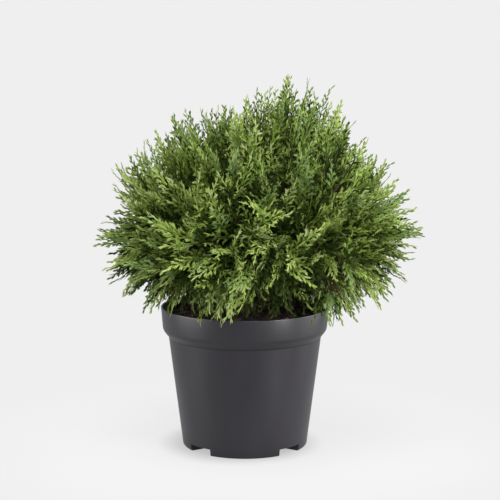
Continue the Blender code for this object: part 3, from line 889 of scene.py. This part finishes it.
def limb_arrays(path, radii, sides, relief=0.0, lobes=None):
    """Points and triangles of a limb with closed ends. relief is its furrows' depth as a share."""
    rings = []
    for index, centre in enumerate(path):
        along = (path[min(index + 1, len(path) - 1)] - path[max(index - 1, 0)]).normalized()
        across = along.cross(Vector((0.0, 1.0, 0.0)) if abs(along.y) < 0.8 else Vector((1.0, 0.0, 0.0)))
        across.normalize()
        side = along.cross(across)
        for step in range(sides):
            angle = tau * step / sides
            radius = radii[index]
            if lobes:
                radius *= 1.0 + lobes[index] * (1.0 - ROOT_LOBE_DEPTH * (1.0 - cos(ROOT_LOBES * angle)))
            out = across * cos(angle) + side * sin(angle)
            if relief:
                place = centre * FURROW_STRETCH + out * radius
                radius *= 1.0 + relief * noise.noise(place * FURROW_SCALE)
                radius *= 1.0 + 0.5 * relief * noise.noise((centre + out * radius) * FURROW_SCALE * 0.5)
            rings.append(centre + out * radius)
    points = [tuple(point) for point in rings] + [tuple(path[0]), tuple(path[-1])]
    faces = []
    for first in range(0, (len(path) - 1) * sides, sides):
        second = first + sides
        for step, after in around(sides):
            faces += [(first + step, first + after, second + after),
                      (first + step, second + after, second + step)]
    foot, tip, last = len(rings), len(rings) + 1, (len(path) - 1) * sides
    for step, after in around(sides):
        faces += [(foot, after, step), (tip, last + step, last + after)]
    return np.array(points), np.array(faces)


def make_limbs():
    bark = fibrous_bark("fibrous_bark", BARK)
    path = [trunk_point(share) for share in even_shares(TRUNK_RINGS)]
    radii = [trunk_radius(share) for share in even_shares(TRUNK_RINGS)]
    lobes = [ROOT_FLARE * exp(-(point.z - path[0].z) / ROOT_FLARE_HEIGHT) for point in path]
    shape = limb_arrays(path, radii, TRUNK_SIDES, FURROW_DEPTH, lobes)
    add_piece(mesh_from_arrays("trunk_bark", *shape, smooth=True), bark, "bark", "trunk")

    counts = {ring: count for ring, count, _, _ in RINGS}
    shapes, nodes = [], []
    for ring, number, _, direction in mass_layout():
        if ring in BOUGH_START:
            path = bough_path(ring, number, counts[ring], direction)
            shapes.append(limb_arrays(path, tapered(BOUGH_RADII, BOUGH_RINGS), BOUGH_SIDES, FURROW_DEPTH))
            nodes.append(f"bough_{ring}_{number + 1}")
    add_piece(mesh_from_arrays("bough_bark", *joined(shapes), smooth=True), bark, "bark", *nodes)


# Sprays

def onward(x, y, angle, length):
    return x + length * cos(angle), y + length * sin(angle)


def grow_shoots(rows, chance, x, y, angle, length, youth, spread):
    """A branchlet of a spray with shoots to its sides in turn. A row is a leaf from (x, y) to (x, y)."""
    bent = angle - copysign(BRANCHLET_BEND, angle)
    half = 0.5 * length
    middle = onward(x, y, angle, half)
    end = onward(*middle, bent, half)
    if length < LONGEST_PLAIN * SHOOT_LENGTH:
        rows.append((x, y, *end, SHOOT_WIDTH, youth))
        if length < SHOOT_LENGTH:
            return
    else:
        rows.append((x, y, *middle, BRANCHLET_WIDTH, youth))
        rows.append((*middle, *end, SHOOT_WIDTH, youth + BRANCHLET_YOUTH))
    side = chance.choice((-1.0, 1.0))
    along = SHOOT_STEP * chance.uniform(*FIRST_SHOOT)
    while along < length - LAST_FINGER:
        share = along / length
        way = angle if share < 0.5 else bent
        foot = onward(x, y, way, along) if share < 0.5 else onward(*middle, way, along - half)
        turn = way + side * spread * chance.uniform(*SHOOT_ANGLE)
        room = SHOOT_ROOM * (length - along) + SHORTEST_SHOOT
        size = min(SHOOT_LENGTH * chance.uniform(*SHOOT_SPREAD), room)
        rows.append((*foot, *onward(*foot, turn, size), SHOOT_WIDTH, youth + SHARE_YOUTH * share))
        side = -side
        along += SHOOT_STEP * chance.uniform(*UNEVEN_STEP)


def grow_spray(chance, length, spread):
    """One flat spray along +X, as rows of leaves (x, y, x, y, width, youth). spread opens its angles."""
    rows = []
    for piece in range(STALK_PIECES):
        end = length * (piece + 1 + STALK_OVERLAP) / (STALK_PIECES + STALK_OVERLAP)
        rows.append((length * piece / STALK_PIECES, 0.0, end, 0.0,
                     STALK_WIDTH * (STALK_SWELL - STALK_TAPER * piece), piece / STALK_PIECES))
    side = chance.choice((-1.0, 1.0))
    along = BRANCHLET_STEP * chance.uniform(*FIRST_BRANCHLET)
    while along < length - LAST_FINGER:
        share = along / length
        size = BRANCHLET_SHARE * (length - along) * min(1.0, FOOT_BRANCHLETS + BRANCHLET_GAIN * share)
        size *= chance.uniform(*BRANCHLET_SPREAD)
        angle = spread * (chance.uniform(*BRANCHLET_ANGLE) - BRANCHLET_CLOSING * share)
        grow_shoots(rows, chance, along, 0.0, side * angle, max(size, SHORTEST_BRANCHLET),
                    SHARE_YOUTH * share, spread)
        side = -side
        along += BRANCHLET_STEP * chance.uniform(*UNEVEN_STEP)
    return rows


class Foliage:
    """Gathers leaves as rows of numbers, each with its spray, its tint and its ring of masses."""

    def __init__(self):
        self.sprays = []
        self.leaves = []

    def add(self, chance, foot, along, facing, length, kind, ring, spread):
        across = along.cross(facing).normalized()
        out = across.cross(along).normalized()
        bends = [chance.uniform(*span) for span in (ARCH, CUP, SICKLE, WAVE_PHASE)]
        number = len(self.sprays)
        self.sprays.append((*foot, *along, *across, *out, length, *bends))
        old, middle, young = AGE_AND_SHADE_TINTS[kind]
        tints = list(TINTS)
        for x0, y0, x1, y1, width, youth in grow_spray(chance, length, spread):
            youth += chance.uniform(-YOUTH_STRAY, YOUTH_STRAY)
            tint = young if youth > YOUNG_YOUTH else middle if youth > MIDDLE_YOUTH else old
            self.leaves.append((number, x0, y0, x1, y1, width, tints.index(tint), ring,
                                chance.uniform(*SHOOT_LIFT)))


def growth_way(chance, direction, place):
    """Where a twig heads: outwards, and up over the dome or down at the skirt."""
    level = max(-1.0, min(1.0, (place.z - TURNING_HEIGHT) / TURNING_SPREAD))
    rise = UP - direction * direction.z
    round_crown = Vector((-direction.y, direction.x, 0.0))
    least, most = TURNING_STRAY
    stray = least + (most - least) * abs(direction.y)
    pull = level * (UPWARD_GROWTH if level > 0.0 else DROOPING_GROWTH)
    pull += RISING_STRAY * chance.gauss(0.0, stray)
    return (direction + rise * pull + round_crown * chance.gauss(0.0, stray)).normalized()


def flat_side(chance, way, direction):
    """The side a fan turns its face to: the front or back, outwards, or across that, with some roll."""
    facing = direction
    if chance.random() < FRONT_FACING_SHARE:
        facing = Vector((0.0, copysign(1.0, direction.y), 0.0))
    facing = facing - way * facing.dot(way)
    if facing.length < END_ON:
        facing = way.cross(Vector((chance.gauss(0.0, 1.0), chance.gauss(0.0, 1.0), 0.2)))
    facing.normalize()
    roll = chance.gauss(0.0, ROLL_SPREAD)
    if chance.random() < EDGEWISE_SHARE:
        roll += 0.5 * pi
    return facing * cos(roll) + way.cross(facing) * sin(roll)


def share_between(value, first, last):
    """How far a value has come from the first to the last, within 0 and 1."""
    return min(max((value - first) / (last - first), 0.0), 1.0)


def choose_kind(chance, layer, tip, shade):
    """The kind of a spray: dark inside, as painted shade, and outside dealt in small patches and from fan to
    fan.
    """
    patch = noise.noise(tip * PATCH_SCALE) + shade + chance.uniform(-SPRAY_SHADE, SPRAY_SHADE)
    patch -= LAYER_SHADE * layer
    patch -= LOW_SHADE * share_between(tip.z, *LOW_HEIGHTS) + TOP_SHADE * share_between(tip.z, *TOP_HEIGHTS)
    if layer >= DEEP_LAYER:
        if tip.z < FORK.z and chance.random() < DEAD_SHARE:
            return "dead"
        return "deep" if chance.random() < DEEP_SHARE else "shade"
    if layer == DEEP_LAYER - 1:
        return "shade" if patch > INNER_PATCH or tip.z > LIT_HEIGHT else "deep"
    return next((kind for kind, least in OUTER_KINDS if patch > least), "blue")


def shortened(foot, way, length, limit):
    """The length that keeps a spray's tip inside a share of the outline."""
    for _ in range(SHORTENING_ROUNDS):
        over = outline_share(foot + way * length) / limit
        if over > 1.0:
            length /= over ** SHORTENING
    return length


def in_opening(chance, direction):
    """True for most fans low in front, where the photograph shows the dark mouth of the pot."""
    bearing, elevation = degrees(atan2(direction.y, direction.x)), degrees(asin(direction.z))
    return any(elevation < below and abs(remainder(bearing - middle, 360.0)) < half
               for middle, half, below in OPENINGS) and chance.random() < OPENING_SHARE


def grow_fan(foliage, twigs, chance, aim, own, share, layer, ring, leads):
    """A twig from its mass's stem, with a leading spray and side sprays in one flat fan."""
    depth, stray = LAYERS[layer]
    sideways = Vector([chance.gauss(0.0, stray) for _ in range(3)])
    direction = (aim + sideways).normalized()
    limit = min(share * depth * chance.uniform(*UNEVEN_REACH), max(FURTHEST_REACH, share))
    if leads and layer == 0:
        direction, limit = aim, share
    elif in_opening(chance, direction):
        limit *= OPENING_REACH if layer < DEEP_LAYER else 1.0
        layer = len(LAYERS) - 1
    elif asin(direction.z) < SKIRT_ELEVATION and abs(direction.y) > SKIRT_FACING:
        limit *= SKIRT_REACH
    tip = FORK + direction * reach(direction) * limit
    way = growth_way(chance, direction, tip)
    leading = chance.uniform(*LEADING_LENGTH)
    end = tip - way * leading
    start = FORK + own * reach(own) * chance.uniform(*TWIG_START)
    middle = end - way * TWIG_ARRIVAL * (end - start).length
    twigs.append(([curve(start, middle, end, share) for share in even_shares(TWIG_RINGS)],
                  tapered(TWIG_RADII, TWIG_RINGS)))
    facing = flat_side(chance, way, direction)
    across = way.cross(facing)
    shade = chance.uniform(-FAN_STRAY, FAN_STRAY) - (LEADER_SHADE if leads else 0.0)
    spread = 1.0 - SIDE_CLOSING * abs(direction.x) - LOW_CLOSING * share_between(tip.z, *LOW_HEIGHTS)
    foliage.add(chance, end, way, facing, leading, choose_kind(chance, layer, tip, shade), ring, spread)
    side = chance.choice((-1.0, 1.0))
    length = (end - start).length
    for number in range(SIDE_SPRAYS):
        back = SIDE_STEP * (number + chance.uniform(*UNEVEN_PLACE))
        if back > SIDE_ROOM * length:
            break
        foot = curve(start, middle, end, 1.0 - back / length)
        angle = spread * chance.uniform(*SIDE_ANGLE)
        turned_way = way * cos(angle) + across * side * sin(angle)
        turned_way += facing * chance.gauss(0.0, SIDE_STRAY)
        turned_way.normalize()
        size = shortened(foot, turned_way, chance.uniform(*SIDE_LENGTH), max(limit, LEAST_LIMIT))
        if size > SHORTEST_SPRAY:
            kind = choose_kind(chance, layer, foot + turned_way * size, shade)
            roll = chance.gauss(0.0, SIDE_ROLL)
            rolled = facing * cos(roll) + turned_way.cross(facing) * sin(roll)
            foliage.add(chance, foot, turned_way, rolled, size, kind, ring, spread)
        side = -side


def leaf_arrays(sprays, leaves):
    """Every leaf as a ridged blade on its bent spray: seven points each, in the part's frame."""
    of = sprays[leaves[:, 0].astype(int)]
    foot, along, across, out = of[:, 0:3], of[:, 3:6], of[:, 6:9], of[:, 9:12]
    length, arch, cup, sickle, phase = (of[:, column:column + 1] for column in range(12, 17))

    def placed(x, y, lift):
        share = x / length
        wave = WAVE * np.sin(phase + x * WAVE_SCALES[0] + y * WAVE_SCALES[1])
        droop = arch * (share - share ** 2 * ARCH_FALL) * 2.0 - cup * y ** 2 + wave + lift
        return foot + along * x + across * (y + sickle * x ** 2) + out * droop

    x0, y0, x1, y1, width = (leaves[:, column:column + 1] for column in range(1, 6))
    size = np.hypot(x1 - x0, y1 - y0)
    lift = leaves[:, 8:9] * size
    way_x, way_y = (x1 - x0) / size, (y1 - y0) / size
    points = []
    for share, breadth in ((0.0, SHOOT_FOOT), (WIDEST_SHARE, 1.0)):
        middle_x, middle_y = x0 + share * (x1 - x0), y0 + share * (y1 - y0)
        half = 0.5 * width * breadth
        for side, ridge in ((1.0, 0.0), (-1.0, 0.0), (0.0, SHOOT_RIDGE)):
            points.append(placed(middle_x - side * way_y * half, middle_y + side * way_x * half,
                                 share * lift + ridge * width * breadth))
    points.append(placed(x1, y1, lift))
    return np.stack(points, axis=1)


# The corners of one leaf: a ridged blade of six faces.
BLADE = np.array([(0, 2, 5), (0, 5, 3), (3, 5, 6), (2, 1, 4), (2, 4, 5), (5, 4, 6)])


def kept_leaves(points):
    """True for leaves that stay in the crown's outline and clear of the pot, the soil and its rim."""
    flat = points.reshape(-1, 3)
    inside = outline_shares(flat) < OUTLINE_LIMIT
    radius = np.hypot(flat[:, 0], flat[:, 1])
    height = flat[:, 2]
    over_soil = (radius < inner_radius(POT_HEIGHT) - WALL_GAP) & (height > SOIL_MIDDLE_HEIGHT + SOIL_GAP)
    over_rim = height > POT_HEIGHT + RIM_GAP
    beside = (radius > RIM_RADIUS + RIM_GAP) & (height > 0.5 * POT_HEIGHT)
    return (inside & (over_soil | over_rim | beside)).reshape(len(points), -1).all(axis=1)


def make_sprays(foliage):
    """Joins the leaves, each tint and ring of masses apart, into pieces of limited size."""
    sprays, leaves = np.array(foliage.sprays), np.array(foliage.leaves)
    points = leaf_arrays(sprays, leaves)
    kept = kept_leaves(points)
    points, leaves = points[kept], leaves[kept]
    nodes = {}
    for ring, _, name, _ in mass_layout():
        nodes.setdefault(ring, []).append(name)
    most = MOST_TRIANGLES // len(BLADE)
    for tint_number, (tint, colours) in enumerate(TINTS.items()):
        material = scale_leaf("scale_leaf_" + tint, colours)
        for ring_number, (ring, _, _, _) in enumerate(RINGS):
            chosen = points[(leaves[:, 6] == tint_number) & (leaves[:, 7] == ring_number)]
            for part in range(0, len(chosen), most):
                block = chosen[part:part + most]
                starts = points.shape[1] * np.arange(len(block))[:, None, None]
                faces = (BLADE[None] + starts).reshape(-1, 3)
                name = f"sprays_{ring}_{tint}_{part // most + 1}"
                mesh = mesh_from_arrays(name, block.reshape(-1, 3), faces)
                add_piece(mesh, material, f"{ring}_foliage", *nodes[ring])


def more_directions():
    """The twigs that the source leaves out, as (direction, (share, layers, whether it leads))."""
    tips = [(0.0, *tip) for tip in RIGHT_TIPS] + [(180.0, *tip) for tip in LEFT_TIPS] + list(OTHER_TIPS)
    found = [(bearing, elevation, (share, SKIRT[-1], True)) for bearing, elevation, share in tips]
    for count, elevation, share, layers in (SKIRT, *INNER_RINGS):
        found += [(360.0 * step / count, elevation, (share, layers, False)) for step in range(count)]
    return [(compass(bearing, elevation), rest) for bearing, elevation, rest in found]


def dealt_out(found, masses):
    """The directions dealt out to the masses that lie nearest to them."""
    dealt = [[] for _ in masses]
    for direction, share in found:
        nearest = max(range(len(masses)), key=lambda place: direction.dot(masses[place][3]))
        dealt[nearest].append((direction, share))
    return dealt


def make_foliage():
    masses = mass_layout()
    shares = dealt_out(spray_directions(), masses)
    added = dealt_out(more_directions(), masses)
    rings = [ring for ring, _, _, _ in RINGS]
    foliage, twigs = Foliage(), []
    for index, (ring, _, _, own) in enumerate(masses):
        chance = random.Random(SEED + index)
        finer = random.Random(SEED * 100 + index)
        foot, centre = mass_foot(own), FORK + own * CORE_PLACE * reach(own)
        twigs.append(([foot.lerp(centre, share) for share in even_shares(STEM_RINGS)],
                      tapered(STEM_RADII, STEM_RINGS)))
        fans = []
        for aim, leading in shares[index]:
            share = leading or chance.uniform(*TIP_REACH)
            # The source draws a size here. The finer sprays draw their own, and this keeps the order.
            chance.uniform(*SIZE_SPREAD)
            stray = Vector([chance.uniform(-SPRAY_STRAY, SPRAY_STRAY) for _ in range(3)])
            aim = (aim + 0.5 * stray).normalized() if leading is None else aim
            fans.append((aim, (share, range(len(LAYERS)), False)))
        for aim, (share, layers, leads) in fans + added[index]:
            for layer in layers:
                grow_fan(foliage, twigs, finer, aim, own, share, layer, rings.index(ring), leads)
    shapes = [limb_arrays(path, radii, TWIG_SIDES) for path, radii in twigs]
    bark = fibrous_bark("twig_bark", TWIG_BARK)
    add_piece(mesh_from_arrays("twigs", *joined(shapes), smooth=True), bark, "bark")
    make_sprays(foliage)


# Studio

def make_camera():
    data = bpy.data.cameras.new("camera")
    data.sensor_width = SENSOR
    data.lens = FOCAL_PIXELS / IMAGE_SIDE * SENSOR
    data.shift_x = (0.5 * IMAGE_SIDE - POT_AXIS_PIXEL) / IMAGE_SIDE
    data.dof.use_dof = False
    camera = add_object(data)
    camera.location = (0.0, -CAMERA_DISTANCE, CAMERA_HEIGHT)
    camera.rotation_euler = (0.5 * pi - CAMERA_TILT, 0.0, 0.0)
    bpy.context.scene.camera = camera


def make_lights():
    for name, (place, height, size, watts) in LIGHTS.items():
        data = bpy.data.lights.new(name, "AREA")
        data.shape = "RECTANGLE"
        data.size, data.size_y = size
        data.energy = watts
        lamp = add_object(data)
        lamp.location = place
        lamp.rotation_euler = (UP * height - Vector(place)).to_track_quat("-Z", "Y").to_euler()


def set_strength(tree, target, entry, plain, mirrored):
    """Strength 1 where the camera looks, plain as light, and mirrored more than that in a gloss."""
    rays = add_node(tree, "LightPath")
    level = set_inputs(add_node(tree, "MapRange"), To_Min=plain, To_Max=1.0)
    gloss = add_node(tree, "Math", operation="MULTIPLY_ADD")
    gloss.inputs[1].default_value = mirrored
    wire(rays, "Is Camera Ray", level, "Value")
    wire(rays, "Is Glossy Ray", gloss, 0)
    wire(level, "Result", gloss, 2)
    wire(gloss, "Value", target, entry)


def make_backdrop():
    scene = bpy.context.scene
    scene.view_settings.view_transform = "Standard"
    world = bpy.data.worlds.new("studio")
    scene.world = world
    world.use_nodes = True
    back = set_inputs(world.node_tree.nodes["Background"], Color=grey(BACKDROP))
    set_strength(world.node_tree, back, "Strength", PLAIN_BACKDROP, MIRRORED_BACKDROP)


def make_floor():
    """A pale floor that fades into the backdrop, with a painted contact shadow where the pot touches it."""
    bm = bmesh.new()
    bmesh.ops.create_circle(bm, cap_ends=True, segments=FLOOR_SIDES, radius=FLOOR_RADIUS)
    material, tree, shader = new_material("pale_floor")
    floor = link_mesh(mesh_from_bmesh("floor", bm), material)
    place = add_node(tree, "TexCoord")
    fades = []
    for centre, (near, far) in (((0.0, 0.0, 0.0), FLOOR_FADE), (CONTACT_PLACE, CONTACT_FADE)):
        distance = add_node(tree, "VectorMath", operation="DISTANCE")
        distance.inputs[1].default_value = centre
        fade = add_node(tree, "MapRange", interpolation_type="SMOOTHSTEP")
        fades.append(set_inputs(fade, From_Min=near, From_Max=far))
        wire(place, "Object", distance, 0)
        wire(distance, "Value", fade, "Value")
    lit, near, glow = (add_node(tree, "Mix", data_type="RGBA") for _ in range(3))
    set_inputs(lit, A=grey(LIT_FLOOR), B=grey(0.0))
    # The glow dims near the pot's foot: the painted contact shadow.
    set_inputs(near, A=grey(PAINTED_CONTACT_SHADOW), B=grey(NEAR_FLOOR))
    set_inputs(glow, B=grey(BACKDROP))
    for fade, blend in ((fades[0], lit), (fades[1], near), (fades[0], glow)):
        wire(fade, "Result", blend, "Factor")
    wire(near, "Result", glow, "A")
    wire(lit, "Result", shader, "Base Color")
    wire(glow, "Result", shader, "Emission Color")
    set_strength(tree, shader, "Emission Strength", PLAIN_FLOOR, MIRRORED_FLOOR)
    set_inputs(shader, Roughness=1.0, Specular_IOR_Level=0.0)


make_camera()
make_backdrop()
make_floor()
make_lights()
make_nursery_pot()
make_soil()
make_limbs()
make_foliage()
